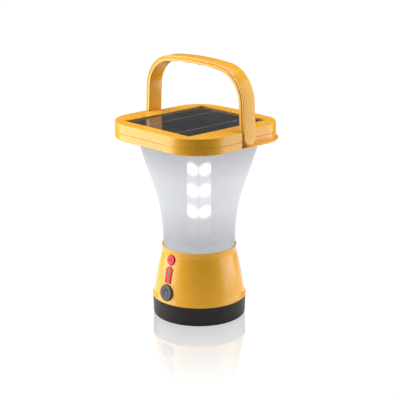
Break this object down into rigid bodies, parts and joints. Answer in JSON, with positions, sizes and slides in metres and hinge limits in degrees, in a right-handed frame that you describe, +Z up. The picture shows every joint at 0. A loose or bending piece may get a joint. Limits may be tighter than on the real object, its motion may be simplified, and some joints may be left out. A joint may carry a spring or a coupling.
{
  "type": "solar lantern",
  "caption": "Portable solar lantern with a square solar head, frosted flared diffuser, tapered control housing on a black base and a fold-back carrying handle.",
  "frame": {"origin": "on the table under the axis of the round body, at the underside of the base pad", "axes": "+Z up along the body axis, -Y towards the control side, the handle pivots on the X sides"},
  "size_m": [0.1642, 0.1542, 0.3024],
  "materials": {
    "yellow_plastic": "satin moulded, fine texture",
    "black_plastic": "satin moulded",
    "rubber": "matt",
    "dark_grey_plastic": "satin",
    "red_plastic": "gloss",
    "green_lens": "gloss, tinted",
    "frosted_plastic": "frosted translucent",
    "white_plastic": "satin",
    "holder_plastic": "satin",
    "aluminium": "mill finish",
    "white_board": "white solder mask",
    "led": "clear resin over phosphor",
    "green_board": "green solder mask",
    "components": "moulded",
    "cell_wrap": "shrink sleeve over a steel can",
    "steel": "zinc plated",
    "panel_cover": "clear, glossy",
    "silicon": "dark blue-black",
    "ribbon": "tinned",
    "wire": "insulated"
  },
  "bodies": {
    "lantern": {"lower_shell": "yellow_plastic", "head_tray": "yellow_plastic", "head_frame": "yellow_plastic", "base_cup": "black_plastic", "base_pad": "rubber", "lower_gasket": "rubber", "upper_gasket": "rubber", "panel_tape": "rubber", "gauge_plate": "red_plastic", "gauge_light_pipes": "green_lens", "diffuser": "frosted_plastic", "neck_plate": "white_plastic", "post_foot": "white_plastic", "post_cap": "white_plastic", "ceiling_reflector": "white_plastic", "board_spacers": "white_plastic", "pivot_washers": "white_plastic", "battery_holder": "holder_plastic", "battery_strap": "holder_plastic", "junction_block": "holder_plastic", "led_post": "aluminium", "led_board_front": "white_board", "led_board_right": "white_board", "led_board_rear": "white_board", "led_board_left": "white_board", "leds": "led", "gauge_leds": "led", "main_board": "green_board", "control_board": "green_board", "panel_backing": "green_board", "board_components": "components", "tact_switches": "components", "battery_cells": "cell_wrap", "base_screws": "steel", "neck_screws": "steel", "post_foot_screws": "steel", "post_cap_screws": "steel", "head_screws": "steel", "pivot_pins": "steel", "panel_cover": "panel_cover", "solar_cells": "silicon", "bus_ribbons": "ribbon", "panel_leads": "wire"},
    "handle": {"handle_strap": "yellow_plastic", "handle_grip": "yellow_plastic"},
    "power_button": {"power_button": "dark_grey_plastic"},
    "test_button": {"test_button": "red_plastic"}
  },
  "joints": [
    {"name": "handle_fold", "type": "hinge", "parent": "lantern", "child": "handle", "pos_m": [0, 0, 0.2232], "axis": [-1, 0, 0], "range_deg": [-7, 90]},
    {"name": "power_press", "type": "slide", "parent": "lantern", "child": "power_button", "axis": [0, 0.9882, -0.153], "range_m": [0, 0.0008], "stiffness_N_per_m": 1500},
    {"name": "test_press", "type": "slide", "parent": "lantern", "child": "test_button", "axis": [0, 0.9759, -0.2181], "range_m": [0, 0.0008], "stiffness_N_per_m": 1000}
  ]
}
